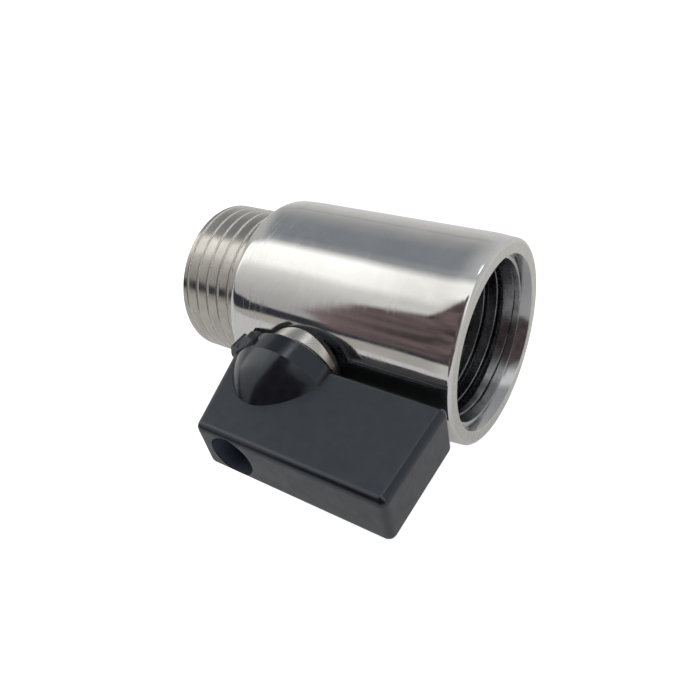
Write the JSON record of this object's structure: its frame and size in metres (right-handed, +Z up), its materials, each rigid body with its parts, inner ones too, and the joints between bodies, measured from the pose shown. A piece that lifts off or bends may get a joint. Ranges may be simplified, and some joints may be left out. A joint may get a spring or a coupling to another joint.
{
  "type": "ball valve",
  "caption": "Compact lever-operated ball valve with a male pipe thread at one end, a female pipe thread at the other and a black lever handle.",
  "frame": {"origin": "centre of the female end face, on the pipe axis", "axes": "+X along the pipe out of the female end; -Y outward along the stem toward the lever; +Z up with the valve lying on its side; the lever lies along +X at rest, which is fully open"},
  "size_m": [0.0428, 0.0398, 0.0254],
  "materials": {
    "stainless": "polished stainless steel, machined ends",
    "ball_steel": "mirror-polished stainless steel",
    "stem_steel": "turned stainless steel",
    "ptfe": "matt white PTFE",
    "o_ring_rubber": "matt black rubber",
    "black_plastic": "moulded satin black",
    "screw_steel": "zinc-plated steel"
  },
  "bodies": {
    "valve": {"valve_body": "stainless", "seat_ring_female_side": "ptfe", "seat_ring_male_side": "ptfe", "seat_retainer": "stem_steel", "stem_thrust_washer": "ptfe"},
    "ball": {"ball": "ball_steel"},
    "lever": {"handle": "black_plastic", "handle_screw": "screw_steel", "handle_screw_washer": "screw_steel", "stem": "stem_steel", "stem_o_ring_lower": "o_ring_rubber", "stem_o_ring_upper": "o_ring_rubber"}
  },
  "joints": [
    {"name": "lever_turn", "type": "hinge", "parent": "valve", "child": "lever", "pos_m": [-0.0191, 0, 0], "axis": [0, 1, 0], "range_deg": [0, 90]},
    {"name": "ball_turn", "type": "hinge", "parent": "valve", "child": "ball", "pos_m": [-0.0191, 0, 0], "axis": [0, 1, 0], "range_deg": [0, 90]}
  ],
  "couplings": [
    {"joint": "ball_turn", "follows": "lever_turn", "ratio": 1}
  ]
}
